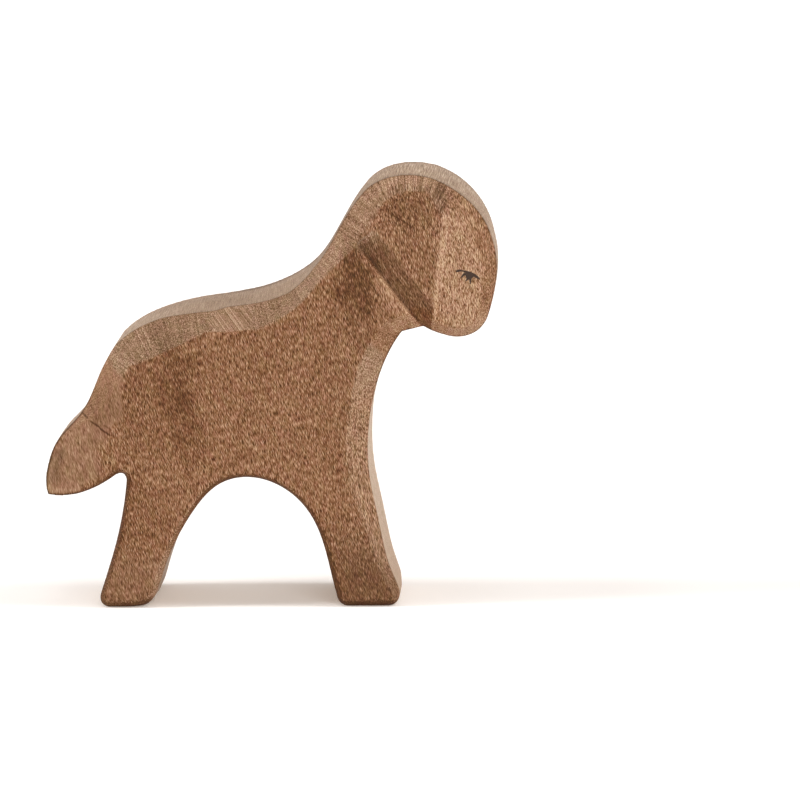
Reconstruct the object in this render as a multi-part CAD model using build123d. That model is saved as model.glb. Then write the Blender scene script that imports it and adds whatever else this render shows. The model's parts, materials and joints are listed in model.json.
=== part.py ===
from build123d import *
import os
from math import cos, radians, sin, tan

# A small standing lamb, carved from one piece of hardwood plank and stained brown.
# The plank is sawn to the animal's outline, a knife bevels its edges, and on each side
# three more cuts thin the face, mark off the head from the neck and thin the tail.
# Millimetres. X runs from tail to nose, Y through the plank, Z up from the ground.
# The origin is on the ground, in the middle of the figure's box.

# The plank and the sawn outline
figure_length = 62.5
figure_height = 60.0
plank_thickness = 18.0

# The knife's bevel between the sawn edge and each side of the plank
bevel_width = 5.0
bevel_depth = 1.8

# The face: a plane on each side that starts at the cheek and runs in towards the nose
cheek_step = 0.6
cheek_step_run = 0.7
face_angle = 23.0
cheek_lean_angle = 6.8
cheek_place_share = 0.351
cheek_foot_share = 0.6

# The V cut behind each ear and cheek: a steep wall on the neck side, a long slope on the other
neck_cut_width = 3.6
neck_cut_depth = 0.9
neck_wall_width = 0.35
neck_cut_angle = 53.0
neck_cut_place_shares = (0.192, 0.838)

# The tail, thinned on each side towards its tip
tail_angle = 9.0
tail_lean_angle = 3.0
tail_place_shares = (-0.350, 0.36)

# The painted eyes: an upper lid, a pupil under it and a short lash at each side
eye_length = 3.7
lid_line = 0.3
lid_arch = 0.3
pupil_width = 1.4
pupil_height = 1.0
lash_length = 0.9
paint_thickness = 0.12
eye_tilt_angle = 13.0
eye_place_shares = (0.438, 0.764)

# How far every cutting tool reaches past the wood
overrun = 5.0

# The sawn outline, once round from the heel of the hind foot, in stretches that meet at
# corners or at the knuckles between two strokes of the knife. A stretch starts where the
# last one ends. Each row is a point as shares of the length and of the height, then the
# bevel there as shares of bevel_width and of bevel_depth.
outline_shares = {
    "hind_sole": [(-0.284, 0.000, 0.16, 0.45)],
    "hind_toe": [(-0.270, 0.007, 0.14, 0.45), (-0.259, 0.023, 0.12, 0.45)],
    "arch": [
        (-0.231, 0.114, 0.12, 0.45),
        (-0.175, 0.222, 0.12, 0.45),
        (-0.110, 0.289, 0.12, 0.45),
        (-0.057, 0.302, 0.10, 0.45),
        (0.053, 0.255, 0.10, 0.45),
        (0.089, 0.207, 0.10, 0.45),
        (0.116, 0.134, 0.12, 0.45),
        (0.140, 0.028, 0.12, 0.45),
    ],
    "front_heel": [(0.145, 0.010, 0.14, 0.45), (0.160, 0.000, 0.16, 0.45)],
    "front_sole": [(0.257, 0.000, 0.16, 0.45)],
    "toe_and_chest": [
        (0.275, 0.009, 0.16, 0.60),
        (0.280, 0.026, 0.18, 0.80),
        (0.274, 0.050, 0.20, 0.95),
        (0.259, 0.088, 0.24, 1.00),
        (0.236, 0.192, 0.36, 1.00),
        (0.217, 0.293, 0.50, 1.00),
        (0.213, 0.377, 0.54, 1.00),
        (0.225, 0.477, 0.56, 1.00),
        (0.253, 0.568, 0.58, 1.00),
        (0.291, 0.635, 0.44, 1.00),
    ],
    "throat": [(0.338, 0.647, 0.36, 1.00)],
    "jaw": [
        (0.376, 0.626, 0.44, 1.40),
        (0.418, 0.616, 0.60, 2.00),
        (0.453, 0.628, 0.70, 2.40),
        (0.479, 0.662, 0.80, 2.60),
    ],
    "nose": [
        (0.495, 0.724, 0.90, 2.70),
        (0.500, 0.790, 0.96, 2.70),
        (0.492, 0.843, 1.00, 2.50),
    ],
    "forehead": [
        (0.468, 0.906, 1.00, 1.80),
        (0.422, 0.959, 0.80, 1.20),
        (0.362, 0.993, 0.34, 1.00),
    ],
    "crown": [
        (0.308, 1.000, 0.42, 1.00),
        (0.252, 0.989, 0.50, 1.00),
        (0.206, 0.953, 0.62, 1.00),
    ],
    "nape": [
        (0.170, 0.899, 0.66, 1.00),
        (0.136, 0.837, 0.50, 1.00),
        (0.097, 0.781, 0.32, 1.00),
        (0.045, 0.742, 0.48, 1.00),
        (-0.042, 0.709, 0.82, 1.00),
    ],
    "back": [
        (-0.090, 0.700, 0.68, 1.00),
        (-0.152, 0.691, 0.58, 1.00),
    ],
    "rump": [
        (-0.200, 0.681, 0.82, 1.00),
        (-0.243, 0.668, 0.90, 1.00),
        (-0.283, 0.651, 0.92, 1.00),
        (-0.341, 0.608, 0.66, 1.00),
    ],
    "tail_top": [
        (-0.358, 0.580, 0.62, 1.00),
        (-0.375, 0.546, 0.58, 1.00),
        (-0.396, 0.494, 0.50, 0.95),
        (-0.424, 0.445, 0.38, 0.90),
        (-0.452, 0.414, 0.28, 0.80),
        (-0.475, 0.384, 0.23, 0.70),
        (-0.490, 0.348, 0.18, 0.58),
        (-0.498, 0.316, 0.16, 0.55),
    ],
    "tail_tip": [(-0.500, 0.290, 0.14, 0.50), (-0.496, 0.263, 0.12, 0.45)],
    "tail_underside": [
        (-0.448, 0.262, 0.12, 0.45),
        (-0.393, 0.279, 0.12, 0.45),
        (-0.343, 0.310, 0.12, 0.45),
    ],
    "crotch": [(-0.328, 0.312, 0.12, 0.45), (-0.320, 0.298, 0.12, 0.45)],
    "hind_leg": [
        (-0.326, 0.248, 0.10, 0.45),
        (-0.344, 0.159, 0.10, 0.45),
        (-0.367, 0.080, 0.10, 0.45),
        (-0.385, 0.024, 0.14, 0.45),
    ],
    "hind_heel": [(-0.381, 0.008, 0.16, 0.45), (-0.368, 0.000, 0.16, 0.45)],
}

half_thickness = plank_thickness / 2


def outline_points():
    """The outline's rows in order: place, inward direction, bevel width and bevel depth."""
    rows = [row for stretch in outline_shares.values() for row in stretch]
    places = [Vector(x * figure_length, 0, z * figure_height) for x, z, _, _ in rows]
    points = []
    for i, (_, _, width, depth) in enumerate(rows):
        before = (places[i] - places[i - 1]).normalized()
        after = (places[(i + 1) % len(rows)] - places[i]).normalized()
        along = (before + after).normalized()
        inward = Vector(-along.Z, 0, along.X)
        points.append((places[i], inward, width * bevel_width, depth * bevel_depth))
    return points


def ring(points, side, bevelled):
    """One closed wire round the figure: the sawn outline, or the bevel's edge on a side."""
    corners = []
    for place, inward, width, depth in points:
        if bevelled:
            corners.append(place + inward * width + Vector(0, side * half_thickness, 0))
        else:
            corners.append(place + Vector(0, side * (half_thickness - depth), 0))
    edges = []
    first = 0
    for stretch in outline_shares.values():
        run = [corners[first - 1]] + corners[first : first + len(stretch)]
        edges.append(Spline(*run) if len(run) > 2 else Line(*run))
        first += len(stretch)
    return Wire(edges)


def sawn_and_bevelled_plank():
    """The plank after the saw and the bevelling knife, with ruled faces between four rings."""
    points = outline_points()
    rings = [
        ring(points, -1, True),
        ring(points, -1, False),
        ring(points, 1, False),
        ring(points, 1, True),
    ]
    return Solid.make_loft(rings, ruled=True)


def face_frame():
    """The cheek line on the right side: X forward, Y into the wood, Z up along the cheek."""
    foot = (cheek_place_share * figure_length, -half_thickness, cheek_foot_share * figure_height)
    lean = radians(cheek_lean_angle)
    return Plane(origin=foot, x_dir=(cos(lean), 0, -sin(lean)), z_dir=(sin(lean), 0, cos(lean)))


def face_depth(forward):
    """How deep the face plane lies under the side of the plank, forward of the cheek line."""
    return cheek_step + (forward - cheek_step_run) * tan(radians(face_angle))


def face_cut():
    reach = figure_length / 2 - cheek_place_share * figure_length + overrun
    profile = Polyline(
        (0, 0),
        (cheek_step_run, cheek_step),
        (reach, face_depth(reach)),
        (reach, -overrun),
        (0, -overrun),
        close=True,
    )
    height = (1 - cheek_foot_share) * figure_height + overrun
    return extrude(face_frame() * make_face(profile), height)


def neck_cut():
    """The V cut, from a blunt stop behind the ear down to the throat."""
    x_share, z_share = neck_cut_place_shares
    top = (x_share * figure_length, -half_thickness, z_share * figure_height)
    slant = radians(neck_cut_angle)
    frame = Plane(origin=top, x_dir=(sin(slant), 0, cos(slant)), z_dir=(-cos(slant), 0, sin(slant)))
    profile = Polyline(
        (0, 0),
        (neck_wall_width, neck_cut_depth),
        (neck_cut_width, 0),
        (neck_cut_width, -overrun),
        (0, -overrun),
        close=True,
    )
    return extrude(frame * make_face(profile), -z_share * figure_height / 2)


def tail_cut():
    """A wedge off the side of the tail, deeper towards its tip."""
    x_share, z_share = tail_place_shares
    root = (x_share * figure_length, -half_thickness, z_share * figure_height)
    lean = radians(tail_lean_angle)
    frame = Plane(origin=root, x_dir=(-cos(lean), 0, sin(lean)), z_dir=(-sin(lean), 0, -cos(lean)))
    reach = figure_length / 2 + x_share * figure_length + overrun
    profile = Polyline(
        (0, 0),
        (reach, reach * tan(radians(tail_angle))),
        (reach, -overrun),
        (0, -overrun),
        close=True,
    )
    return extrude(frame * make_face(profile), z_share * figure_height / 2, both=True)


def carved_body():
    body = sawn_and_bevelled_plank()
    for cut in (face_cut(), neck_cut(), tail_cut()):
        body = body - cut - mirror(cut, Plane.XZ)
    return body.solid()


def eye_frame():
    """The place of the right eye on its face plane: X towards the nose, Z out of the wood."""
    x_share, z_share = eye_place_shares
    face = face_frame()
    seen = face.to_local_coords(Vector(x_share * figure_length, 0, z_share * figure_height))
    tilt = radians(face_angle)
    along = face.from_local_coords(Vector(cos(tilt), sin(tilt), 0)) - face.origin
    outward = face.from_local_coords(Vector(sin(tilt), -cos(tilt), 0)) - face.origin
    place = face.from_local_coords(Vector(seen.X, face_depth(seen.X), seen.Z))
    return Plane(origin=place, x_dir=along, z_dir=outward)


def painted_eye():
    """The right eye's thin mark of paint, drawn flat and laid on the face plane."""
    half = eye_length / 2
    lid_top = ThreePointArc((-half, 0), (0, lid_arch + lid_line), (half, 0))
    lid_bottom = ThreePointArc((half, 0), (0, lid_arch), (-half, 0))
    pupil_top = ThreePointArc(
        (-pupil_width / 2, lid_arch),
        (0, lid_arch + lid_line / 2),
        (pupil_width / 2, lid_arch),
    )
    pupil_bottom = ThreePointArc(
        (pupil_width / 2, lid_arch),
        (0, lid_arch - pupil_height),
        (-pupil_width / 2, lid_arch),
    )
    mark = make_face([lid_top, lid_bottom]) + make_face([pupil_top, pupil_bottom])
    for side in (-1, 1):
        root = side * pupil_width / 2
        lash = Polyline(
            (root - lid_line / 2, lid_arch),
            (root + lid_line / 2, lid_arch),
            (root + side * lash_length / 2, lid_arch - lash_length),
            close=True,
        )
        mark = mark + make_face(lash)
    frame = eye_frame()
    return extrude(frame * Rot(0, 0, -eye_tilt_angle) * mark, paint_thickness, dir=frame.z_dir).solid()


def write_parts():
    os.makedirs("parts", exist_ok=True)
    eye = painted_eye()
    parts = {
        "carved_body": carved_body(),
        "eye_right": eye,
        "eye_left": mirror(eye, Plane.XZ),
    }
    for name, shape in parts.items():
        shape.label = name
        export_step(shape, os.path.join("parts", name + ".step"))


write_parts()
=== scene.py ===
# %% [markdown]
# # A small wooden lamb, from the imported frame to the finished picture
#
# The real thing is one piece of maple. A saw cuts the animal's outline out of a plank,
# a knife bevels the edges and thins face, neck and tail, sandpaper softens it all, and a
# brown stain and a little oil finish it. Two eyes are painted on with a fine brush.
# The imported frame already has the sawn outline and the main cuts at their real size.
# What is missing is everything that the eye reads as wood: soft arrises, the small cuts
# that no rule would give, the grain, the stain and the paint. This lesson adds them, one
# step at a time.

# %% Load the frame and measure it
import json
from math import cos, pi, radians, sin, tan

import bmesh
import bpy
import numpy as np
from mathutils import Matrix, Vector
from mathutils.bvhtree import BVHTree
from mathutils.kdtree import KDTree

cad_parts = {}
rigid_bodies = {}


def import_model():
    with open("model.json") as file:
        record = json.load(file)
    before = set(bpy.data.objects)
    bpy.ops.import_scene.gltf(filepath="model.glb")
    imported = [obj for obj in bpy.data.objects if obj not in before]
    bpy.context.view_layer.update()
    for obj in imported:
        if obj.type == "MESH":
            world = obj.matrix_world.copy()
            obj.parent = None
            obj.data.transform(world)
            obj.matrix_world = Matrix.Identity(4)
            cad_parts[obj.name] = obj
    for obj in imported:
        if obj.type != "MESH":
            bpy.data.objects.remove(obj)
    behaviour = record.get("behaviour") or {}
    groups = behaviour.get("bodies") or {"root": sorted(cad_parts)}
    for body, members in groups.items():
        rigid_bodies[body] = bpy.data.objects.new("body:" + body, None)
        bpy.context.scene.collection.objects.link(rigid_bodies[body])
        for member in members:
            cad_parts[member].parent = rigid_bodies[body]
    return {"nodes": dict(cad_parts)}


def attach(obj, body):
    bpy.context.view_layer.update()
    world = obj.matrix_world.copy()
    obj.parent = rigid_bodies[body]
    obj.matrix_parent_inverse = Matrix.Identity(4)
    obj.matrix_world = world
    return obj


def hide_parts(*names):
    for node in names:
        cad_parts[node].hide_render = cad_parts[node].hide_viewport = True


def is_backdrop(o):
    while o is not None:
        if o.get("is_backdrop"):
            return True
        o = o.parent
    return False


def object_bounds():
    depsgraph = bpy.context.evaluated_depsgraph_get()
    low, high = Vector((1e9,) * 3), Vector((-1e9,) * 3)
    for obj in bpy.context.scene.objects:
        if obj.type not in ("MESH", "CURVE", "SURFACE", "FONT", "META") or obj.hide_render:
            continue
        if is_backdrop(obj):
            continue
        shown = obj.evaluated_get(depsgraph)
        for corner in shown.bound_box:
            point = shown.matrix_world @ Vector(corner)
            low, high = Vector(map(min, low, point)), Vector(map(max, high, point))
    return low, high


for leftover in list(bpy.data.objects):
    bpy.data.objects.remove(leftover)
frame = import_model()
cad_low, cad_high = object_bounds()
mm = 0.001
length, thickness, height = cad_high - cad_low
half_thickness = thickness / 2
size_in_mm = [round(side / mm, 2) for side in (length, thickness, height)]
print("nodes", sorted(frame["nodes"]), "size in mm", size_in_mm)

# %% [markdown]
# ## Three helpers
#
# Every node tree below is written with one function, which adds a node, gives it its
# settings and fills its inputs with numbers or with links. Another starts a material with
# an empty tree. Colours are written as they look on a screen, and the last function turns
# them to the linear values that light works in.

# %% A node with its settings and links, an empty material and a colour
def put(tree, kind, inputs=(), **settings):
    node = tree.nodes.new(kind)
    for name, value in settings.items():
        setattr(node, name, value)
    for socket, value in dict(inputs).items():
        if isinstance(value, bpy.types.NodeSocket):
            tree.links.new(value, node.inputs[socket])
        else:
            node.inputs[socket].default_value = value
    return node


def new_material(name):
    """A material and its node tree, which is still empty."""
    material = bpy.data.materials.new(name)
    material.use_nodes = True
    material.node_tree.nodes.clear()
    return material, material.node_tree


def linear(hex_colour):
    shown = [int(hex_colour[i : i + 2], 16) / 255 for i in (1, 3, 5)]
    parts = [c / 12.92 if c <= 0.04045 else ((c + 0.055) / 1.055) ** 2.4 for c in shown]
    return (*parts, 1.0)


print("a mid brown in linear light", [round(part, 3) for part in linear("#92674a")])

# %% [markdown]
# ## The camera
#
# The picture was taken with a long lens, from a little above the figure. A long lens keeps
# the two sides of the plank nearly parallel, and the small height is what shows the pale
# sawn edge along the back. The camera is placed from its two angles and its distance,
# aimed at a point on the figure's middle plane, and then rolled by the fraction of a
# degree that the figure leans in the picture.

# %% Place the camera
camera_azimuth = radians(2.4)
camera_elevation = radians(8.5)
camera_roll = radians(-0.7)
camera_distance = 803 * mm
aim_point = Vector((17.52 * mm, 0, 27.51 * mm))
picture_width = 800
pixels_per_mm = 7.205
sensor_width = 36

looking = Vector((-sin(camera_azimuth), cos(camera_azimuth), -tan(camera_elevation))).normalized()
level_right = Vector((cos(camera_azimuth), sin(camera_azimuth), 0))
level_up = level_right.cross(looking)
right = cos(camera_roll) * level_right + sin(camera_roll) * level_up
up = cos(camera_roll) * level_up - sin(camera_roll) * level_right
turned = Matrix((right, up, -looking)).transposed().to_4x4()

camera_data = bpy.data.cameras.new("camera")
camera_data.sensor_width = sensor_width
camera_data.lens = pixels_per_mm / mm * camera_distance / picture_width * sensor_width
camera_data.clip_start = 50 * mm
camera_data.clip_end = 20
camera = bpy.data.objects.new("camera", camera_data)
camera.matrix_world = Matrix.Translation(aim_point - looking * camera_distance) @ turned
bpy.context.scene.collection.objects.link(camera)
bpy.context.scene.camera = camera
print("lens in mm", round(camera_data.lens, 1))

# %% [markdown]
# ## A skin that can be carved
#
# The frame's wood is a few thousand long triangles with knife-sharp edges. Real edges are
# rounded by sandpaper and by hands, and small cuts need points to move. So a copy of the
# wood gets a new, even skin. A voxel remesh would eat the borders of the cuts. The Remesh
# modifier's Sharp mode puts its points on those borders instead, which keeps the sawn
# outline true, and every later cut starts from a correct shape.

# %% Copy the wood and give the copy an even skin
skin_levels = 8
skin_fill = 0.8
merge_gap = 0.002 * mm


def new_piece(name, mesh):
    piece = bpy.data.objects.new(name, mesh)
    bpy.context.scene.collection.objects.link(piece)
    return piece


def shaped_mesh(piece):
    """The piece as its modifiers shape it, as a mesh of its own."""
    shaped = piece.evaluated_get(bpy.context.evaluated_depsgraph_get())
    return bpy.data.meshes.new_from_object(shaped)


def work_in_modifiers(piece):
    """Turns the piece with its modifiers into a plain mesh."""
    mesh = shaped_mesh(piece)
    piece.modifiers.clear()
    piece.data = mesh


def merged(node):
    """The frame's mesh with its loose triangles joined, open for editing."""
    joined = bmesh.new()
    joined.from_mesh(frame["nodes"][node].data)
    bmesh.ops.remove_doubles(joined, verts=joined.verts, dist=merge_gap)
    return joined


wood_mesh = bpy.data.meshes.new("lamb_wood")
joined = merged("carved_body")
joined.to_mesh(wood_mesh)
joined.free()
lamb = new_piece("lamb_wood", wood_mesh)
skin = lamb.modifiers.new("even skin", "REMESH")
skin.mode = "SHARP"
skin.octree_depth = skin_levels
skin.scale = skin_fill
skin.use_remove_disconnected = False
work_in_modifiers(lamb)
skin_spacing = length / skin_fill / 2**skin_levels
print("skin of", len(lamb.data.vertices), "points,", round(skin_spacing / mm, 3), "mm apart")

# %% [markdown]
# ## Where a point lies
#
# Tool marks follow the outline: sandpaper and knife work across the edge, all the way
# round. So each point learns how far along the outline it lies. The outline is read from
# the frame, by cutting its wood through the middle of the plank. A search tree of
# close-set places along it then finds the nearest one. Points that the Remesh modifier
# left a hair outside the frame's box are first moved back into it.

# %% Read the outline and measure every point against it
outline_spacing = 0.05 * mm


def middle_outline():
    """Evenly spaced places along the middle plane's outline, and their lengths along it."""
    cut = merged("carved_body")
    parts = cut.verts[:] + cut.edges[:] + cut.faces[:]
    bmesh.ops.bisect_plane(
        cut, geom=parts, plane_co=(0, 0, 0), plane_no=(0, 1, 0), clear_inner=True, clear_outer=True
    )
    walked = [min(cut.verts, key=lambda v: (v.co.z, v.co.x))]
    edge = max(walked[0].link_edges, key=lambda e: e.other_vert(walked[0]).co.x)
    while edge.other_vert(walked[-1]) is not walked[0]:
        walked.append(edge.other_vert(walked[-1]))
        edge = next(e for e in walked[-1].link_edges if e is not edge)
    corners = np.array([(v.co.x, v.co.z) for v in walked + walked[:1]])
    cut.free()
    reach = np.concatenate(([0], np.cumsum(np.linalg.norm(np.diff(corners, axis=0), axis=1))))
    lengths = np.arange(0, reach[-1], outline_spacing)
    return np.column_stack([np.interp(lengths, reach, corners[:, i]) for i in (0, 1)]), lengths


def nearest_of(places):
    """A search tree over rows of three numbers."""
    tree = KDTree(len(places))
    for i, place in enumerate(places):
        tree.insert(place, i)
    tree.balance()
    return tree


def read(mesh, what):
    """The places or the normals of a mesh's points as rows of three numbers."""
    flat = np.empty(len(mesh.vertices) * 3, np.float32)
    mesh.vertices.foreach_get(what, flat)
    return flat.reshape(-1, 3).astype(float)


points = np.clip(read(lamb.data, "co"), cad_low, cad_high)
skin_normals = read(lamb.data, "normal")
outline, outline_lengths = middle_outline()
tangents = np.gradient(outline, axis=0)
tangents /= np.linalg.norm(tangents, axis=1, keepdims=True)
inwards = np.column_stack([-tangents[:, 1], tangents[:, 0]])
nearest_outline = nearest_of([(x, 0, z) for x, z in outline])


def outline_row(x, z):
    return nearest_outline.find((x, 0, z))[1]


rows = np.array([outline_row(x, z) for x, _, z in points])
along = outline_lengths[rows]
inward = inwards[rows]
inside = ((points[:, [0, 2]] - outline[rows]) * inward).sum(axis=1)
print("outline", round(outline_lengths[-1] / mm, 1), "mm round")

# %% [markdown]
# ## How near an edge is
#
# Edges take stain and wear in their own way. The arris between the sawn edge and a knife
# cut is a thin dark line, where the stain has soaked into torn fibres. The crest between
# two cuts is drawn paler on top, partly rubbed wood and partly a painted highlight. The
# bottom of a cut is drawn a little darker. The frame knows these edges exactly, so they are
# found there by the angle between their two faces, and each point of the skin learns its
# distance from the nearest edge of each kind.

# %% Sort the frame's edges and measure the distances from them
edge_spacing = 0.1 * mm
least_edge_angle = radians(14)
farthest_kept = 3.0


def edge_kind(edge):
    turn = edge.calc_face_angle_signed(0)
    sawn_faces = sum(abs(face.normal.y) < 0.1 for face in edge.link_faces)
    if abs(turn) < least_edge_angle or sawn_faces == 2:
        return None
    if turn < 0:
        return "pit"
    return "arris" if sawn_faces == 1 else "crest"


def edge_distances():
    """For each kind of edge, every point's distance from it in millimetres."""
    wood = merged("carved_body")
    places = {"arris": [], "crest": [], "pit": []}
    for edge in wood.edges:
        kind = edge_kind(edge)
        if kind:
            start, end = edge.verts
            steps = int(edge.calc_length() / edge_spacing) + 1
            places[kind] += [start.co.lerp(end.co, i / steps) for i in range(steps + 1)]
    wood.free()
    distances = {}
    for kind, spots in places.items():
        tree = nearest_of(spots)
        found = np.array([tree.find(point)[2] for point in points])
        distances[kind] = np.minimum(found / mm, farthest_kept)
    return distances


distance = edge_distances()
print("points within 0.3 mm of an edge", {kind: int((d < 0.3).sum()) for kind, d in distance.items()})

# %% [markdown]
# ## Small cuts of the knife
#
# A knife takes off whatever stands in front of a plane. That is easy to say in numbers:
# each point that is past the plane moves back onto it. A gouge does the same with a ball.
# A cut is given by its border, two places on the side of the plank in millimetres, and by
# the slope of the blade, and a hollow by its centre, width and depth. Both are made on
# both sides of the plank. Single strokes along the edges fell differently on each side, so
# each side has its own list: places on the outline, and the depth taken off there.

# %% Pare with a flat blade and scoop with a gouge
def side_place(x, z):
    return np.array((x * mm, -half_thickness, z * mm))


def both_sides(cut):
    """Makes a cut on the right side of the figure, and its mirror image on the left side."""
    for side in (1, -1):
        seen_from_right = points * (1, side, 1)
        near = seen_from_right[:, 1] < 0
        seen_from_right[near] = cut(seen_from_right[near])
        points[:] = seen_from_right * (1, side, 1)


def pare(start, end, slope_angle):
    """Slopes the wood down on the left of the line from start to end, as the right side shows it."""
    start, end = side_place(*start), side_place(*end)
    line = (end - start) / np.linalg.norm(end - start)
    left = np.array((-line[2], 0, line[0]))
    blade = np.array((0, -cos(slope_angle), 0)) + left * sin(slope_angle)

    def cut(wood):
        past = wood - start
        over = np.maximum(past @ blade, 0) * (past @ left > 0)
        return wood - over[:, None] * blade

    both_sides(cut)


def gouge(centre, width, depth):
    """Scoops a shallow round hollow where the centre falls on the right side."""
    right_side = np.flatnonzero(points[:, 1] < 0)
    away = points[right_side] - side_place(*centre)
    nearest = right_side[np.argmin(np.linalg.norm(away, axis=1))]
    radius = (width**2 / 8 / depth + depth / 2) * mm
    ball = points[nearest] + skin_normals[nearest] * (radius - depth * mm)

    def cut(wood):
        out = wood - ball
        apart = np.linalg.norm(out, axis=1, keepdims=True)
        return np.where(apart < radius, ball + out / apart * radius, wood)

    both_sides(cut)


def ease(side, strokes, reach):
    """Takes down one side's edge by so much at each place, and less and less up to the middle."""
    lengths = [outline_lengths[outline_row(x * mm, z * mm)] for x, z, _ in strokes]
    order = np.argsort(lengths)
    depths = np.array([depth for _, _, depth in strokes])
    depth = np.interp(along, np.array(lengths)[order], depths[order], left=0, right=0)
    towards_edge = np.clip(side * points[:, 1] / half_thickness, 0, 1)
    lowered = depth * mm * towards_edge * np.clip(1 - inside / (reach * mm), 0, 1)
    points[:, [0, 2]] += inward * lowered[:, None]


right_strokes = [
    (-19.5, 0, 0), (-17.7, 0, 0.25), (-16.6, 0.8, 0.4), (-16.0, 2.0, 0.15), (-15.4, 4.0, 0),
    (22.4, 38.4, 0), (24.0, 37.4, 0.2), (26.1, 37.0, 0.2), (28.4, 37.8, 0),
    (31.2, 47.0, 0), (30.8, 50.5, 0.25), (29.2, 54.4, 0.5), (26.4, 57.5, 0.6), (22.6, 59.6, 0.45),
    (19.2, 60.0, 0.35), (15.8, 59.3, 0.3), (12.9, 57.2, 0.1), (10.6, 54.0, 0),
    (6.0, 46.9, 0), (4.3, 45.6, 0.5), (2.3, 44.4, 1.0), (0, 43.6, 0.9), (-3.0, 42.8, 0.6),
    (-5.6, 42.0, 0.4), (-8.0, 41.7, 0.75), (-11.4, 41.2, 0.5), (-15.0, 40.2, 0),
]
left_strokes = [
    (17.2, 0.4, 0.2), (17.5, 1.6, 0.5), (17.1, 3.0, 0.4), (16.2, 5.3, 0.15), (15.4, 8.0, 0),
    (13.3, 22.6, 0), (14.1, 28.6, 0.2), (15.8, 34.1, 0.2), (19.8, 38.6, 0),
    (-23.4, 32.8, 0), (-24.8, 29.6, 0.15), (-26.5, 26.7, 0.25), (-28.2, 24.8, 0.25), (-30.0, 22.5, 0),
]
stroke_reach = 3.5
flat_cuts = {
    "over the ear": ((16.2, 55.5), (20.2, 52.4), radians(7)),
    "over the cheek": ((20.2, 52.4), (24.6, 53.4), radians(7)),
    "tail tip": ((-29.4, 16.5), (-28.8, 22.5), radians(30)),
}
hollows = {"back": ((-5.6, 40.0), 4.6, 0.22), "throat": ((17.6, 38.8), 3.4, 0.2)}

uncut = points.copy()
ease(-1, right_strokes, stroke_reach)
ease(1, left_strokes, stroke_reach)
for start, end, slope_angle in flat_cuts.values():
    pare(start, end, slope_angle)
for centre, width, depth in hollows.values():
    gouge(centre, width, depth)
print("the small cuts moved", int((np.abs(points - uncut).max(axis=1) > 0).sum()), "points")

# %% [markdown]
# ## Where the tools have been
#
# The stain shows how each surface was made. The flats of the plank take the most stain,
# in a deep orange brown. The knife's slopes and the sawn edge are greyer and paler, partly
# since much of the stain was sanded off them again and partly as a painted sheen, the pale
# veil that they catch at a grazing angle. So each point gets two numbers: bare says how much
# of the stain is gone, together with that painted sheen, and pale says how light the colour
# is where the stain stayed. On some surfaces pale also holds painted light or shade, by the
# way that they face the lamps. They are worked out from the way that the surface faces and
# from the place of each cut.

# %% Tell the surfaces apart by the way they face
def rise(value, start, end):
    """0 up to start, 1 from end on, and a smooth rise between them."""
    share = np.clip((value - start) / (end - start), 0, 1)
    return share * share * (3 - 2 * share)


def band(value, rising, falling):
    """0, then 1 between a rising and a falling range, then 0 again."""
    return rise(value, *rising) * (1 - rise(value, *falling))


cheek_foot = (21.94, 36.0)
cheek_lean = radians(6.8)
face_slope = radians(23)
step_slope = radians(40.6)
cut_top = (12.0, 50.28)
cut_angle = radians(53)

x, y, z = (uncut / mm).T
facing_side = np.abs(skin_normals[:, 1])
sawn = 1 - rise(facing_side, 0.15, 0.3)

mirrored_normals = skin_normals * np.column_stack([np.ones_like(y), -np.sign(y), np.ones_like(y)])


def facing(slope):
    """How squarely the wood faces out of a cut that turns in by this slope towards the nose."""
    return mirrored_normals @ np.array((sin(slope), -cos(slope), 0))


cheek_line = cheek_foot[0] + (z - cheek_foot[1]) * tan(cheek_lean)
face = rise(facing(face_slope), 0.95, 0.985) * (x > cheek_line)
on_step = rise(facing(step_slope), 0.96, 0.985) * (z > 38)
step_width = np.interp(z, (39, 54), (0.45, 0.8))
cheek_step = band(x - cheek_line, (-0.15, 0.05), (step_width, step_width + 0.2))
cheek_step *= (1 - sawn) * band(z, (38.5, 39.5), (54.4, 55.0))

across_cut = (x - cut_top[0]) * sin(cut_angle) + (z - cut_top[1]) * cos(cut_angle)
down_cut = (x - cut_top[0]) * cos(cut_angle) - (z - cut_top[1]) * sin(cut_angle)
in_cut = rise(down_cut, -0.2, 2.8) * (x < cheek_line) * (1 - sawn)
neck_slope = band(across_cut, (0.2, 0.4), (3.2, 3.6)) * in_cut
neck_wall = band(across_cut, (-0.35, -0.05), (0.2, 0.4)) * in_cut
neck_rim = band(across_cut, (-1.4, -0.4), (-0.2, 0.1)) * in_cut
head_rim = band(across_cut, (3.2, 3.6), (3.6, 4.3)) * in_cut

wander = 0.3 * np.sin(1.9 * x + 0.7 * z) + 0.3 * np.sin(1.3 * z - 0.9 * x + 1.0)


def patch(corners, fade):
    """1 inside a region of the side given by its corners, with a soft, uneven border."""
    corners = np.array(corners, float)
    enclosed = np.zeros(len(x), bool)
    nearest = np.full(len(x), np.inf)
    for start, end in zip(corners, np.roll(corners, -1, axis=0)):
        run = end - start
        offset = np.column_stack([x, z]) - start
        share = np.clip(offset @ run / (run @ run), 0, 1)
        nearest = np.minimum(nearest, np.hypot(*(offset - share[:, None] * run).T))
        if run[1]:
            crossing = start[0] + (z - start[1]) * run[0] / run[1]
            enclosed ^= ((start[1] > z) != (end[1] > z)) & (x < crossing)
    signed = np.where(enclosed, -nearest, nearest)
    return 1 - rise(signed + min(fade, 1) * wander, -fade / 2, fade / 2)


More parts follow.
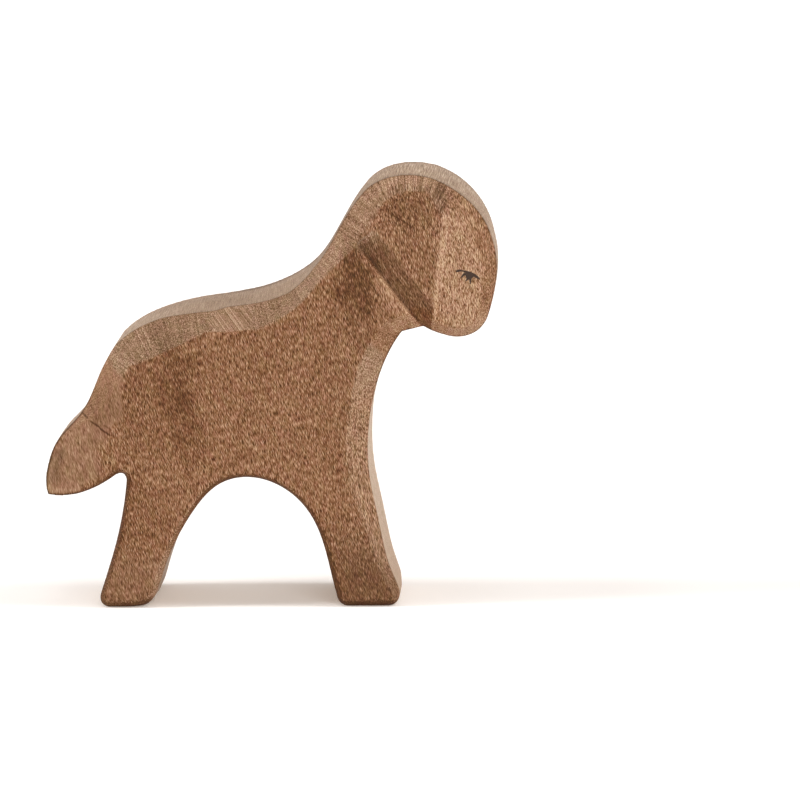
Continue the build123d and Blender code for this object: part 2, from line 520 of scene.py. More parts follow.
tail_border = [
    (-20.2, 31.9), (-20.0, 29.2), (-20.9, 26.8), (-22.1, 24.7), (-23.7, 21.4),
    (-23.3, 18.6), (-30, 14), (-34, 22), (-26, 32), (-22, 35),
]
tail = patch(tail_border, 1.2) * (1 - sawn)
found = (sawn, face, neck_slope, neck_wall, tail, cheek_step)
rest_of_side = np.prod([1 - surface for surface in found], axis=0)
bevelled = rest_of_side * (1 - rise(facing_side, 0.955, 0.985)) * (1 - on_step)
plain = rest_of_side * (1 - bevelled)
masks = {"sawn": sawn, "bevelled": bevelled, "face": face, "neck slope": neck_slope, "tail": tail}
print("share of points", {name: round(float(mask.mean()), 3) for name, mask in masks.items()})

# %% Rub the stain off, darken it where it soaked in, and paint light and shade
# Places along the top: how much paler bevel and sawn edge are, and how strong the strokes
top_marks = [
    (-24, -0.08, 0.05, 0.4),
    (-19, -0.09, 0.06, 0.9),
    (-16, -0.16, 0.02, 0.8),
    (-12, -0.16, -0.02, 0.6),
    (-8, -0.12, -0.04, 0.6),
    (-6, -0.04, -0.04, 0.8),
    (-3.5, -0.06, -0.04, 0.7),
    (-1.5, -0.13, -0.01, 0.6),
    (4, -0.12, -0.03, 0.5),
    (9, -0.07, -0.22, 0.5),
    (14, -0.08, -0.02, 0.9),
    (19, -0.07, 0.03, 1.6),
    (25, -0.1, 0.1, 1.3),
    (29, -0.1, 0.11, 0.5),
]
top_places, bevel_paleness, strip_paleness, stroke_strengths = zip(*top_marks)

# Each blotch with its middle, its half sizes and how much paler it is
blotches = {
    "loin": ((-12.9, 32.5), (2.6, 5.2), -0.13),
    "thigh": ((-11.4, 25.0), (2.0, 5.0), -0.11),
    "haunch": ((-16.5, 28.0), (5.0, 6.0), -0.05),
    "tail root": ((-23.7, 28.0), (2.0, 2.6), -0.12),
    "hind leg": ((-19.0, 9.0), (4.0, 9.0), -0.05),
    "ear": ((17.5, 54.5), (4.0, 3.0), -0.03),
    "neck": ((12.3, 45.6), (2.6, 5.0), -0.29),
    "throat": ((14.0, 38.0), (4.0, 3.0), -0.05),
    "belly": ((1.5, 24.0), (4.0, 7.0), 0.02),
}
largest_shift = 7
lost_on_sawn_edge = 0.8
poll_border = [
    (16.5, 57.2), (20, 58.6), (24, 58.8), (24.8, 54.9), (22.3, 53.2), (18.9, 51.8), (16.1, 54),
]
forehead_border = [
    (22.8, 60), (27, 59), (30.5, 56), (31.6, 51.5), (30.3, 51.4), (28.3, 54.1), (26.7, 55),
    (24.9, 54.9), (23.4, 55.5),
]
under_cheek_border = [(14.0, 46.2), (14.6, 46.6), (19.0, 40.2), (17.8, 39.4), (13.2, 45.8)]

# Each patch with its border, how softly it ends, and how much paler and barer it is
stain_and_lit_patches = {
    "poll": (poll_border, 1.2, -0.09, 0.02),
    "forehead": (forehead_border, 2.0, -0.13, 0.0),
    "fore foot": ([(8, 9.5), (19, 9.5), (19, -1), (8, -1)], 8.0, -0.15, 0.12),
    "hind foot": ([(-27, 7), (-12, 7), (-12, -1), (-27, -1)], 4.0, 0.04, 0.15),
    "tail tip": ([(-32, 21.5), (-28.9, 21.9), (-28.9, 17.7), (-32, 17.0)], 0.8, -0.19, 0.14),
    "under the cheek": (under_cheek_border, 0.5, 0.07, 0),
    "throat": ([(14, 37), (17, 40.6), (23, 41.5), (24, 38), (19, 37.5), (16, 34)], 1.0, 0.0, -0.3),
    # Painted light: the end wall of the chest bevel at the throat, lit from the floor
    "lit throat": ([(16.4, 39.4), (18.7, 39.4), (18.7, 38.8), (17.1, 37.8)], 0.4, 0.16, 0),
    "crotch": ([(-20.9, 20.1), (-20.1, 19.6), (-19.1, 18.3), (-21, 17)], 0.5, 0.16, 0),
}
marks = np.random.default_rng(12)


def blotch(middle, half_size, darker, side):
    """Stain that soaked deeper over an oval patch of one side, fading towards its rim."""
    apart = np.hypot((x - middle[0]) / half_size[0], (z - middle[1]) / half_size[1])
    return darker * (1 - rise(apart + 0.5 * wander, 0.6, 1.4)) * (y * side > 0)


high = rise(z, 28, 32)
upper = high * rise(skin_normals[:, 2], -0.1, 0.15)
feet = 1 - rise(z, 3.0, 9.0)
ahead = rise(x, cheek_line - 0.6, cheek_line + 1.8)
leading = rise(skin_normals[:, 0], 0.2, 0.6)
trailing = rise(-skin_normals[:, 0], 0.1, 0.5)
downward = rise(-skin_normals[:, 2], 0.2, 0.6)
# Painted shade: low surfaces that face back or down, away from the lamps
turned_from_light = np.maximum(trailing, downward) * (1 - high)
# Painted light and sheen, partly paler wood: the low sawn edge that faces forward is drawn paler
lit_front_edge = sawn * leading * (1 - rise(z, 31, 35))
far_rim = sawn * upper * rise(y, 3.5, 6) * band(x, (-9, -3), (6, 12))
behind_cheek = bevelled * (1 - ahead)
chest_bevel = behind_cheek * (high - upper)
low_bevel = bevelled * (1 - high)
tail_rim = tail * (1 - rise(inside / mm, 0.1, 0.3)) * (1 - rise(z, 24, 28))
tail_band = tail * band(inside / mm, (0.25, 0.4), (0.7, 1.0)) * (1 - rise(z, 20, 23))
front_light_and_paleness = np.interp(z, (2, 10, 20), (0.23, 0.28, 0.34))

# Each surface with its mask, how bare it is and how much paler
surfaces = {
    "sawn edge": (sawn, 0.78, 0),
    # Painted light and sheen on the forward-facing sawn edge, stronger higher up, with some paler wood
    "front edge lit from the right": (lit_front_edge, -0.15, front_light_and_paleness),
    "sawn edge on top": (upper * sawn, 0, np.interp(x, top_places, strip_paleness)),
    "far rim of the back": (far_rim, 0, -0.28),
    "bevel": (behind_cheek * (1 - turned_from_light), 0.2, 0),
    "top bevel": (behind_cheek * upper, 0.3, np.interp(x, top_places, bevel_paleness)),
    "nape and crown": (behind_cheek * upper * rise(x, 5, 8), -0.12, 0),
    "chest bevel": (chest_bevel, 0.2, 0),
    "face bevel": (bevelled * ahead, 0.12, 0.09),
    "low bevel": (low_bevel, 0, -0.03),
    # Painted shade: the low bevels that face back or down are drawn darker
    "painted shade on low bevels turned from light": (low_bevel * turned_from_light, 0, -0.36),
    "face": (face, 0.11, 0.1),
    # Painted highlight: the cheek step faces the light from the front right
    "painted highlight on the cheek step": (cheek_step, 0.1, 0.2),
    "tail": (tail, 0.24, -0.04),
    "rim of the tail": (tail_rim, 0, -0.25),
    "underside of the tail": (tail_band, 0, 0.12),
    # Painted shade on the slope of the V cut, which faces away from the light, and painted light on its
    # wall and on the neck beside it, which face the light
    "slope of the V cut, sanded and in painted shade": (neck_slope, 0.18, -0.26),
    "painted light on the wall of the V cut": (neck_wall, 0, 0.12),
    "painted light on the neck beside the V cut": (neck_rim, 0, 0.14),
    "head beside the V cut": (head_rim, 0, 0.09),
    "flat side": (plain, 0.01, -0.09),
    "flat side of the neck": (plain * rise(x, 7, 13), 0.04, 0),
    "feet": (feet, 0, -0.04),
}
bare = np.zeros(len(x))
pale = np.full(len(x), 0.5)
for mask, bareness, paleness in surfaces.values():
    bare += bareness * mask
    pale += paleness * mask
for corners, fade, paleness, bareness in stain_and_lit_patches.values():
    inside_patch = patch(corners, fade) * (1 - lost_on_sawn_edge * sawn)
    pale += paleness * inside_patch
    bare += bareness * inside_patch
for middle, half_size, darker in blotches.values():
    pale += blotch(middle, half_size, darker, -1) * (1 - bare)
    far_middle = middle + marks.uniform(-largest_shift, largest_shift, 2)
    pale += blotch(far_middle, half_size, darker, 1) * (1 - bare)
print("paleness from", round(float(pale.min()), 2), "to", round(float(pale.max()), 2))

# %% [markdown]
# ## Scratches and cracks
#
# The knife and the sandpaper leave fine lines: across the bevels and the sawn edge, along
# the cut behind the cheek, and slanting through the scooped place on the back. The lines
# lie where one length is constant, so each point keeps that length as its stroke, and how
# strongly it is marked as worked. The few cracks are single dark lines. A crack is kept
# as the distance from its line with a sign for the side, because a signed distance stays
# exact between two points, however fine the line is.

# %% Give each point its stroke and the nearest crack
# Each crack with its two ends and how deep it is
cracks = [
    ((-26.0, 27.1), (-25.2, 26.5), 0.7),
    ((-24.9, 26.15), (-23.6, 25.3), 0.7),
    ((-23.5, 25.1), (-22.2, 24.2), 0.9),
    ((-26.9, 23.3), (-25.5, 21.7), 0.3),
    ((-21.9, 24.9), (-22.8, 25.5), 0.35),
    ((-24.9, 28.4), (-24.2, 27.2), 0.3),
    ((16.2, 55.5), (17.5, 54.2), 0.45),
    ((17.5, 54.2), (19.8, 52.8), 0.6),
    ((12.6, 47.0), (15.9, 42.4), 0.3),
]
crack_reach = 0.8


def crack_marks():
    """Each point's signed distance from the nearest crack line, and how deep the crack is there."""
    signed = np.full(len(x), 1.0)
    depth = np.zeros(len(x))
    nearest = np.full(len(x), np.inf)
    for start, end, strength in cracks:
        start, end = np.array(start), np.array(end)
        span = np.linalg.norm(end - start)
        line = (end - start) / span
        offset = np.column_stack([x, z]) - start
        run = offset @ line
        side = offset @ np.array((-line[1], line[0]))
        beyond = np.maximum(np.maximum(-run, run - span), 0)
        apart = np.hypot(side, beyond)
        closer = apart < nearest
        nearest = np.where(closer, apart, nearest)
        signed = np.where(closer, np.clip(side, -1, 1), signed)
        fading = (1 - rise(beyond, 0, 0.3)) * (1 - rise(np.abs(side), crack_reach / 2, crack_reach))
        depth = np.where(closer, strength * fading, depth)
    return signed, depth * (1 - sawn)


crack, cracked = crack_marks()
scoop_border = [(-7.6, 41.2), (-3.9, 42.3), (-2.3, 41.2), (-3.4, 38.2), (-7.2, 38.4), (-8.6, 39.8)]
cut_end_border = [(10.2, 51.2), (12.6, 48.6), (16.0, 51.4), (14.0, 54.6)]
scoop_angle = radians(36)
sawn_closeness = 1.5
scoop_closeness = 1.7

scoop = patch(scoop_border, 1.6) * (1 - sawn)
cut_end = patch(cut_end_border, 1.0) * (1 - sawn)
slant = (x * cos(scoop_angle) + z * sin(scoop_angle)) * mm
stroke = along * np.where(sawn > 0.5, sawn_closeness, 1)
stroke = np.where(neck_slope + neck_wall > 0.5, across_cut * mm, stroke)
stroke = np.where(scoop > 0.4, scoop_closeness * slant, stroke)
top_strokes = upper * np.interp(x, top_places, stroke_strengths)

# Each surface with its mask, how worked it is and how much grain it loses
tooled = {
    "top bevel": (behind_cheek * top_strokes, 1, 0),
    "sawn edge on top": (sawn * top_strokes, 1, 0),
    "sawn edge": (sawn, 0.15, 0.45),
    "high bevel": (behind_cheek * high, 0, 0.25),
    "other bevels": (behind_cheek * (1 - upper), 0.1, 0),
    "chest bevel": (chest_bevel, 0.3, 0),
    "V cut": (neck_slope, 0.5, 0.3),
    "scoop": (scoop, 0.8, 0.3),
    "tail": (tail, 0, 0.5),
    "feet": (feet, 0, 0.3),
}
worked = np.zeros(len(x))
grained = np.ones(len(x))
for mask, strength, grain_lost in tooled.values():
    worked += strength * mask
    grained -= grain_lost * mask
print("strongest strokes", round(float(worked.max()), 2))

# %% [markdown]
# ## How far the edges' lines reach
#
# A line shows where a point's distance is small. So a smaller distance widens the line,
# and a larger one weakens it or leaves it out. Stain creeps from an arris far over the
# sawn edge, but the line is weaker along the back and low on the front. Only the crests on
# top get their pale line, which is partly rubbed wood and partly a painted highlight. The
# blunt end of the V cut was sanded over, so no line crosses it.

# %% Widen and weaken the lines
arris_creep = 7
front_fading = 0.22
top_fading = 0.07
back_fading = 0.1
past_every_line = 2

distance["arris"] /= 1 + arris_creep * sawn * (1 - lit_front_edge)
distance["arris"] += front_fading * leading * (1 - high)
distance["arris"] += upper * (top_fading + back_fading * rise(-x, -9, -6))
# Painted highlight, partly rubbed wood: only the crests on top get a pale line
distance["crest"] += 1 - upper
for kind in distance:
    distance[kind] += past_every_line * cut_end
print("points on a line", {kind: int((d < 0.3).sum()) for kind, d in distance.items()})

# %% Write the points back, with what they know
lamb.data.vertices.foreach_set("co", points.astype(np.float32).ravel())
lamb.data.update()
known = {
    "pale": pale,
    "bare": np.clip(bare, 0, 1),
    "grained": grained,
    "stroke": stroke,
    "worked": worked,
    "crack": crack,
    "cracked": cracked,
    **distance,
}
for name, values in known.items():
    attribute = lamb.data.attributes.new(name, "FLOAT", "POINT")
    attribute.data.foreach_set("value", values.astype(np.float32))
print("attributes", sorted(known))

# %% [markdown]
# ## Stained maple
#
# Maple is a close, even wood. Along the grain it shows short fine flecks, a tenth of a
# millimetre wide, and a few dark pores. Water stain goes deeper where the fibres end, so
# it dries blotchy. The stain's ramp runs through saturated oranges and browns, and the
# sanded wood has a greyer, paler ramp of its own, which also paints the sheen that slopes
# and edges catch at a grazing angle. The grain runs up the animal and leans a little back.

# %% The wood's colours, its flecks and its scratches
stained_tones = {0.0: "#472a14", 0.25: "#6d4425", 0.5: "#8f6244", 0.75: "#b28868", 1.0: "#d0ab8a"}
# The sanded ramp is greyer and paler partly for the sanding and partly as a painted sheen
sanded_and_sheen_tones = {0.0: "#5d4732", 0.25: "#80684f", 0.5: "#a08770", 0.75: "#bba48d", 1.0: "#d6c5b1"}
grain_lean = radians(-13)
# Each layer of the grain with its width and run in millimetres, and its detail
grain_layers = {
    "flecks": (0.085, 0.7, 1.0),
    "pores": (0.12, 1.0, 1.0),
    "fibres": (0.3, 1.8, 2.0),
    "clouds": (3.0, 6.0, 2.0),
    "tint": (0.9, 2.0, 1.0),
}
scratch_spacing = 0.22
scratch_length = 5.0
edge_line_width = 0.35
crest_width = 0.3
pit_width = 0.5
crack_width = 0.22
tint_strength = 0.035


def stained_maple(names):
    wood, tree = new_material("stained_maple")
    place = put(tree, "ShaderNodeTexCoord").outputs["Object"]
    known = {}
    for name in names:
        known[name] = put(tree, "ShaderNodeAttribute", attribute_name=name).outputs["Fac"]

    def ramp(tone, tones):
        ramp = put(tree, "ShaderNodeValToRGB", {"Fac": tone})
        stops = ramp.color_ramp.elements
        while len(stops) < len(tones):
            stops.new(0.5)
        for stop, (position, colour) in zip(stops, tones.items()):
            stop.position = position
            stop.color = linear(colour)
        return ramp.outputs["Color"]

    layers = {}
    for name, (width, run, detail) in grain_layers.items():
        stretched = put(
            tree,
            "ShaderNodeMapping",
            {"Vector": place, "Scale": (width * mm, width * mm, run * mm), "Rotation": (0, grain_lean, 0)},
            vector_type="TEXTURE",
        )
        noise_inputs = {"Vector": stretched.outputs[0], "Scale": 1.0, "Detail": detail}
        noise = put(tree, "ShaderNodeTexNoise", noise_inputs)
        centred = {0: noise.outputs["Fac"], 1: 0.5}
        layers[name] = put(tree, "ShaderNodeMath", centred, operation="SUBTRACT").outputs[0]

    across = put(tree, "ShaderNodeMath", {0: known["stroke"], 1: scratch_spacing * mm}, operation="DIVIDE")
    depth = put(tree, "ShaderNodeSeparateXYZ", {0: place}).outputs["Y"]
    lengthwise = put(tree, "ShaderNodeMath", {0: depth, 1: scratch_length * mm}, operation="DIVIDE")
    scratch_place = put(tree, "ShaderNodeCombineXYZ", {"X": across.outputs[0], "Y": lengthwise.outputs[0]})
    scratches = put(
        tree,
        "ShaderNodeTexNoise",
        {"Vector": scratch_place.outputs[0], "Scale": 1.0, "Detail": 1.0},
        noise_dimensions="2D",
    )
    scratches = put(tree, "ShaderNodeMath", {0: scratches.outputs["Fac"], 1: 0.5}, operation="SUBTRACT")
    pores = put(
        tree,
        "ShaderNodeMapRange",
        {"Value": layers["pores"], "From Min": 0.13, "From Max": 0.2},
        interpolation_type="SMOOTHSTEP",
    )
    masked = {
        "pores": (pores.outputs[0], known["grained"]),
        "flecks": (layers["flecks"], known["grained"]),
        "scratches": (scratches.outputs[0], known["worked"]),
    }
    for name, (pattern, mask) in masked.items():
        layers[name] = put(tree, "ShaderNodeMath", {0: pattern, 1: mask}, operation="MULTIPLY").outputs[0]

    crack_side = put(tree, "ShaderNodeMath", {0: known["crack"]}, operation="ABSOLUTE").outputs[0]
    line_widths = {
        "arris": (known["arris"], edge_line_width),
        "crest": (known["crest"], crest_width),
        "pit": (known["pit"], pit_width),
        "crack": (crack_side, crack_width),
    }
    for name, (away, width) in line_widths.items():
        line = put(
            tree,
            "ShaderNodeMapRange",
            {"Value": away, "From Min": 0.0, "From Max": width, "To Min": 1.0, "To Max": 0.0},
            interpolation_type="SMOOTHSTEP",
        )
        layers[name] = line.outputs[0]
    crack_line = {0: layers["crack"], 1: known["cracked"]}
    layers["crack"] = put(tree, "ShaderNodeMath", crack_line, operation="MULTIPLY").outputs[0]

    strengths = {
        "flecks": 2.6,
        "pores": -0.3,
        "fibres": 0.2,
        "clouds": 0.16,
        "scratches": 0.72,
        "arris": -0.32,
        "crest": 0.05,
        "pit": -0.05,
        "crack": -0.6,
    }
    tone = known["pale"]
    for name, strength in strengths.items():
        added = {0: layers[name], 1: strength, 2: tone}
        tone = put(tree, "ShaderNodeMath", added, operation="MULTIPLY_ADD").outputs[0]
    colour = put(
        tree,
        "ShaderNodeMix",
        {"Factor": known["bare"], "A": ramp(tone, stained_tones), "B": ramp(tone, sanded_and_sheen_tones)},
        data_type="RGBA",
    )
    shifted = {0: layers["tint"], 1: tint_strength, 2: 0.5}
    hue = put(tree, "ShaderNodeMath", shifted, operation="MULTIPLY_ADD").outputs[0]
    tinted = put(tree, "ShaderNodeHueSaturation", {"Hue": hue, "Color": colour.outputs["Result"]})
    relief = layers["flecks"]
    for name, strength in {"scratches": 1.6, "crack": -0.5}.items():
        raised = {0: layers[name], 1: strength, 2: relief}
        relief = put(tree, "ShaderNodeMath", raised, operation="MULTIPLY_ADD").outputs[0]
    bump = put(tree, "ShaderNodeBump", {"Height": relief, "Distance": 0.05 * mm, "Strength": 0.6})
    shader = put(
        tree,
        "ShaderNodeBsdfPrincipled",
        {
            "Base Color": tinted.outputs["Color"],
            "Roughness": 0.55,
            "Specular IOR Level": 0.1,
            "Normal": bump.outputs[0],
        },
    )
    put(tree, "ShaderNodeOutputMaterial", {"Surface": shader.outputs[0]})
    return wood


maple = stained_maple(known)
print("nodes in", maple.name, len(maple.node_tree.nodes))

# %% [markdown]
# ## The knife's strokes, cut for real
#
# Up close a bevel is not flat: each pull of the knife leaves a shallow facet, a millimetre
# wide and a few hundredths deep. They follow the outline round, which is a rule, so a
# small node tree makes them: it moves each point along its normal by a noise of its
# stroke, as far as the place is worked. The noise is first lowered by nearly its highest
# value, so the points move into the wood, because a knife only takes wood away. Sandpaper
# then takes the sharpness off every edge, and more of it along the soles and at the blunt
# end of the V cut.

# %% Tools for building and applying a node tree
def new_tree(name, sizes):
    """A node tree with a geometry, some sizes and a material as inputs."""
    tree = bpy.data.node_groups.new(name, "GeometryNodeTree")
    tree.interface.new_socket("Geometry", in_out="INPUT", socket_type="NodeSocketGeometry")
    for size in sizes:
        tree.interface.new_socket(size, in_out="INPUT", socket_type="NodeSocketFloat")
    tree.interface.new_socket("Material", in_out="INPUT", socket_type="NodeSocketMaterial")
    tree.interface.new_socket("Geometry", in_out="OUTPUT", socket_type="NodeSocketGeometry")
    return tree, put(tree, "NodeGroupInput").outputs


def close_tree(tree, geometry, material):
    """Ends a tree in real geometry with its material."""
    real = put(tree, "GeometryNodeRealizeInstances", {"Geometry": geometry})
    finished = put(tree, "GeometryNodeSetMaterial", {"Geometry": real.outputs[0], "Material": material})
    put(tree, "NodeGroupOutput", {"Geometry": finished.outputs[0]})


def run_tree(piece, tree, sizes):
    """Adds the tree to the piece with its inputs set by their identifiers."""
    modifier = piece.modifiers.new(tree.name, "NODES")
    modifier.node_group = tree
    for item in tree.interface.items_tree:
        if item.in_out == "INPUT" and item.name in sizes:
            modifier[item.identifier] = sizes[item.name]


# %% Cut the strokes and sand the edges
highest_noise = 0.85
least_weight = 0.01


def stroke_tree():
    tree, given = new_tree("knife_strokes", ("Stroke width", "Stroke depth", "Seed"))
    stroke = put(tree, "GeometryNodeInputNamedAttribute", {"Name": "stroke"}, data_type="FLOAT")
    worked = put(tree, "GeometryNodeInputNamedAttribute", {"Name": "worked"}, data_type="FLOAT")
    across = stroke.outputs[0]
    for operation, other in (("DIVIDE", given["Stroke width"]), ("ADD", given["Seed"])):
        across = put(tree, "ShaderNodeMath", {0: across, 1: other}, operation=operation).outputs[0]
    noise_inputs = {"W": across, "Scale": 1.0, "Detail": 1.0}
    marked = put(tree, "ShaderNodeTexNoise", noise_inputs, noise_dimensions="1D").outputs[0]
    for operation, other in (
        ("SUBTRACT", highest_noise),
        ("MULTIPLY", given["Stroke depth"]),
        ("MULTIPLY", worked.outputs[0]),
    ):
        marked = put(tree, "ShaderNodeMath", {0: marked, 1: other}, operation=operation).outputs[0]
    normal = put(tree, "GeometryNodeInputNormal").outputs[0]
    offset = put(tree, "ShaderNodeVectorMath", {0: normal, "Scale": marked}, operation="SCALE")
    placed = {"Geometry": given["Geometry"], "Offset": offset.outputs[0]}
    moved = put(tree, "GeometryNodeSetPosition", placed)
    close_tree(tree, moved.outputs[0], given["Material"])
    return tree


softened = np.maximum(1 - rise(z, 1.0, 2.4), cut_end)
group = lamb.vertex_groups.new(name="softened")
for index in np.flatnonzero(softened > least_weight):
    group.add([int(index)], float(softened[index]), "REPLACE")

stroke_sizes = {
    "Stroke width": 0.9 * mm,
    "Stroke depth": 0.07 * mm,
    "Seed": 5.0,
    "Material": maple,
}
run_tree(lamb, stroke_tree(), stroke_sizes)
for name, passes, spots in (("sandpaper", 2, ""), ("rounded spots", 14, group.name)):
    sanding = lamb.modifiers.new(name, "SMOOTH")
    sanding.factor = 0.5
    sanding.iterations = passes
    sanding.vertex_group = spots
work_in_modifiers(lamb)
lamb.data.shade_smooth()
print("carved", len(lamb.data.vertices), "points; materials", [m.name for m in lamb.data.materials])

# %% [markdown]
# ## The painted eyes
#
# Each eye is a few touches of a fine brush: the lid, the pupil under it, a lash at the
# rear and two short ones below. A touch of the brush is a line that swells and thins, so
# it is a curve with a radius at each point, and a small node tree turns it into a flat
# ribbon of paint. All touches then become one skin, which is laid on the carved face. The
# places are in millimetres in the lid's own frame, which is read from the frame's eye: its
# two ends are the points farthest apart along the face.

# %% The brush
# Each touch: places along and above the lid, and half the touch's width there
touches = {
    "lid": [
        (-1.89, -0.07, 0.10),
        (-1.65, 0.10, 0.19),
        (-1.30, 0.24, 0.14),
        (-0.86, 0.30, 0.10),
        (-0.10, 0.32, 0.18),
        (0.85, 0.20, 0.22),
        (1.40, 0.05, 0.18),
        (1.86, -0.12, 0.08),
    ],
    "pupil": [(0.22, 0.20, 0.76), (0.22, 0.0, 0.74), (0.24, -0.25, 0.5), (0.30, -0.60, 0.3)],
    "rear lash": [(-0.50, 0.02, 0.22), (-0.76, -0.32, 0.15), (-0.90, -0.72, 0.07)],
    "lower rear lash": [(0.10, -0.55, 0.16), (0.02, -0.80, 0.11), (-0.14, -0.98, 0.05)],
    "lower front lash": [(0.50, -0.45, 0.18), (0.62, -0.85, 0.13), (0.72, -1.15, 0.06)],
}


def brush_tree():
    tree, given = new_tree("brush", ("Step", "Flatness"))
    stepped = {"Curve": given["Geometry"], "Length": given["Step"]}
    resampled = put(tree, "GeometryNodeResampleCurve", stepped, mode="LENGTH")
    upright = put(tree, "GeometryNodeSetCurveNormal", {"Curve": resampled.outputs[0]}, mode="Z_UP")
    circle = put(tree, "GeometryNodeCurvePrimitiveCircle", {"Resolution": 16, "Radius": 1.0})
    flat = put(tree, "ShaderNodeCombineXYZ", {"X": 1.0, "Y": given["Flatness"], "Z": 1.0})
    profile = put(tree, "GeometryNodeTransform", {"Geometry": circle.outputs[0], "Scale": flat.outputs[0]})
    swell = put(tree, "GeometryNodeInputRadius")
    ribbon = put(
        tree,
        "GeometryNodeCurveToMesh",
        {
            "Curve": upright.outputs[0],
            "Profile Curve": profile.outputs[0],
            "Scale": swell.outputs[0],
            "Fill Caps": True,
        },
    )
    close_tree(tree, ribbon.outputs[0], given["Material"])
    return tree


# %% [markdown]
# ## Brown-black acrylic
#
# Artist's acrylic dries to a thin plastic film with a soft sheen. Drawn out with a small
# brush it keeps fine furrows from the hairs, so its brown-black changes a little from one
# furrow to the next.

# %% The paint
furrow_size = (0.5 * mm, mm, 0.08 * mm)
furrow_depth = 0.02 * mm


def eye_paint():
    paint, tree = new_material("brown_black_acrylic")
    place = put(tree, "ShaderNodeTexCoord").outputs["Object"]
    stretched = {"Vector": place, "Scale": furrow_size}
    hairs = put(tree, "ShaderNodeMapping", stretched, vector_type="TEXTURE").outputs[0]
    furrows = put(tree, "ShaderNodeTexNoise", {"Vector": hairs, "Scale": 1.0, "Detail": 2.0})
    colour = put(
        tree,
        "ShaderNodeMix",
        {"Factor": furrows.outputs["Fac"], "A": linear("#291c16"), "B": linear("#4a372b")},
        data_type="RGBA",
    )
    pressed = {"Height": furrows.outputs["Fac"], "Distance": furrow_depth, "Strength": 0.5}
    bump = put(tree, "ShaderNodeBump", pressed)
    shader = put(
        tree,
        "ShaderNodeBsdfPrincipled",
        {
            "Base Color": colour.outputs["Result"],
            "Roughness": 0.55,
            "Specular IOR Level": 0.2,
            "Normal": bump.outputs[0],
        },
    )
    put(tree, "ShaderNodeOutputMaterial", {"Surface": shader.outputs[0]})
    return paint


# %% Paint the right eye in the lid's frame
def eye_touches():
    strokes = bpy.data.curves.new("eye_strokes", "CURVE")
    strokes.dimensions = "3D"
    for touch in touches.values():
        spline = strokes.splines.new("NURBS")
        spline.points.add(len(touch) - 1)
        for point, (across, high, half_width) in zip(spline.points, touch):
            point.co = (across * mm, high * mm, 0, 1)
            point.radius = half_width * mm
        spline.order_u = 3
        spline.use_endpoint_u = True
        spline.resolution_u = 12
    return strokes


brushed = new_piece("brushed", eye_touches())
run_tree(brushed, brush_tree(), {"Step": 0.04 * mm, "Flatness": 0.5, "Material": eye_paint()})
eye = new_piece("painted_eye_right", shaped_mesh(brushed))
bpy.data.objects.remove(brushed)
one_skin = eye.modifiers.new("one skin", "REMESH")
one_skin.mode = "VOXEL"
one_skin.voxel_size = 0.03 * mm
work_in_modifiers(eye)
print("eye of", len(eye.data.vertices), "points", [round(d / mm, 2) for d in eye.dimensions])

# %% Lay the paint on the face
paint_height = 0.06 * mm
paint_sunk = paint_height / 2
ray_height = 1 * mm


def lid_frame(node):
    """The middle of the lid, its direction, and the directions up the face and out of the wood."""
    mark = merged(node)
    outward = max(mark.faces, key=lambda f: f.calc_area() * (f.normal.y < 0)).normal.copy()
    ahead = Vector((1, 0, 0)) - outward * outward.x
    corners = sorted((v.co.copy() for v in mark.verts), key=lambda p: p.dot(ahead))
    mark.free()
    rear, front = corners[0], corners[-1]
    lid = (front - rear) - outward * (front - rear).dot(outward)
    return (rear + front) / 2, lid.normalized(), lid.normalized().cross(outward) * -1, outward


lid_middle, lid_direction, upward, outward = lid_frame("eye_right")
carved = BVHTree.FromObject(lamb, bpy.context.evaluated_depsgraph_get())
for vertex in eye.data.vertices:
    along_lid, up_face, thick = vertex.co
    above = lid_middle + lid_direction * along_lid + upward * up_face + outward * ray_height
    hit, _, _, _ = carved.ray_cast(above, -outward)
    vertex.co = hit + outward * max(min(thick, paint_height), -paint_sunk)
eye.data.update()
print("lid at", [round(c / mm, 1) for c in lid_middle], "upwards", [round(c, 2) for c in upward])

# %% The left eye is its mirror image
mirror_image = eye.data.copy()
mirror_image.transform(Matrix.Scale(-1, 4, (0, 1, 0)))
mirror_image.flip_normals()
eye_left = new_piece("painted_eye_left", mirror_image)
for piece, node in ((eye, "eye_right"), (eye_left, "eye_left")):
    piece.data.shade_smooth()
    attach(piece, "root")
    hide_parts(node)

# %% [markdown]
# ## Floor, light and background
#
# The figure stands on white paper under a long softbox that hangs over it from left to
# right. Its length lights the paper under tail and head from both sides, so that only the
# space between the legs is dark, and its narrow width keeps that shadow's front and rear
# borders fairly sharp. Suns have no falloff, so the paper stays even to the horizon: a
# fan of them, tilted left and right, stands for the softbox. One more soft sun from the
# front right shapes the face and the cut behind the cheek, and the world fills the rest.
# The camera and reflections see the paper and the world brighter than they shine: the
# paper glows a little and the world is white, without more diffuse light on the wood.

# %% A floor that keeps the shadow
floor_half_size = 3.0
paper_colour = (0.88, 0.88, 0.88, 1)
paper_glow = 0.285
glow_colour = "#f2dcc8"


def seen_by_camera(tree):
    """1 on rays from the camera, also by way of a reflection or through something clear."""
    path = put(tree, "ShaderNodeLightPath").outputs
    seen = path["Is Camera Ray"]
    for way in ("Is Glossy Ray", "Is Transmission Ray"):
        seen = put(tree, "ShaderNodeMath", {0: seen, 1: path[way]}, operation="MAXIMUM").outputs[0]
    return seen


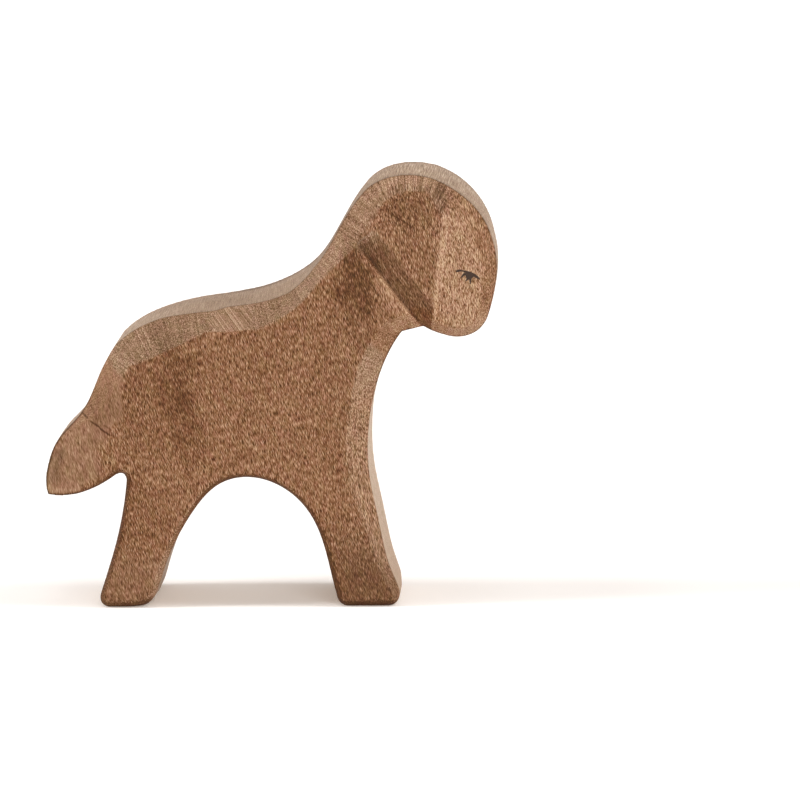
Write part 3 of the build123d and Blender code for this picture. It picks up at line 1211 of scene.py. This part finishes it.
def studio_floor():
    material, tree = new_material("white_paper")
    lifted = {0: seen_by_camera(tree), 1: paper_glow}
    lift = put(tree, "ShaderNodeMath", lifted, operation="MULTIPLY").outputs[0]
    paper = put(tree, "ShaderNodeBsdfDiffuse", {"Color": paper_colour})
    glow = put(tree, "ShaderNodeEmission", {"Color": linear(glow_colour), "Strength": lift})
    both = put(tree, "ShaderNodeAddShader", {0: paper.outputs[0], 1: glow.outputs[0]})
    put(tree, "ShaderNodeOutputMaterial", {"Surface": both.outputs[0]})
    far = floor_half_size
    mesh = bpy.data.meshes.new("floor")
    mesh.from_pydata([(-far, -far, 0), (far, -far, 0), (far, far, 0), (-far, far, 0)], [], [(0, 1, 2, 3)])
    mesh.materials.append(material)
    new_piece("floor", mesh)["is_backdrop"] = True


studio_floor()

# %% Light the figure
softbox_strengths = {-58: 0.46 * pi, -25: 0.1 * pi, 0: 0.06 * pi, 25: 0.1 * pi, 58: 0.28 * pi}
softbox_forward = -0.09
softbox_angle = radians(14)
front_strength = 0.42 * pi
front_direction = (0.35, -1.0, 0.3)
front_angle = radians(40)
world_white = (1, 1, 1, 1)
world_strength = 0.42
world_as_seen = 1.0


def soft_sun(name, direction, angle, strength):
    lamp = bpy.data.lights.new(name, "SUN")
    lamp.angle = angle
    lamp.energy = strength
    thing = bpy.data.objects.new(name, lamp)
    thing.matrix_world = (-Vector(direction)).to_track_quat("-Z", "Y").to_matrix().to_4x4()
    bpy.context.scene.collection.objects.link(thing)


for tilt, strength in softbox_strengths.items():
    direction = (sin(radians(tilt)), softbox_forward, cos(radians(tilt)))
    soft_sun(f"softbox {tilt}", direction, softbox_angle, strength)
soft_sun("front right", front_direction, front_angle, front_strength)

world = bpy.data.worlds.new("studio")
bpy.context.scene.world = world
world.use_nodes = True
room = world.node_tree
room.nodes.clear()
lit = put(room, "ShaderNodeBackground", {"Color": world_white, "Strength": world_strength})
shown = put(room, "ShaderNodeBackground", {"Color": world_white, "Strength": world_as_seen})
chosen = {0: seen_by_camera(room), 1: lit.outputs[0], 2: shown.outputs[0]}
mixed = put(room, "ShaderNodeMixShader", chosen)
put(room, "ShaderNodeOutputWorld", {"Surface": mixed.outputs[0]})
bpy.context.scene.view_settings.view_transform = "Standard"
print("lights", len(bpy.data.lights), "and a world of strength", world_strength)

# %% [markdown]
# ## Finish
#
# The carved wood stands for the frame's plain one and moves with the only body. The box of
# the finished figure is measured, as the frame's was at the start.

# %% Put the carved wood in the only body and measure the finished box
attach(lamb, "root")
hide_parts("carved_body")
low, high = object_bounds()
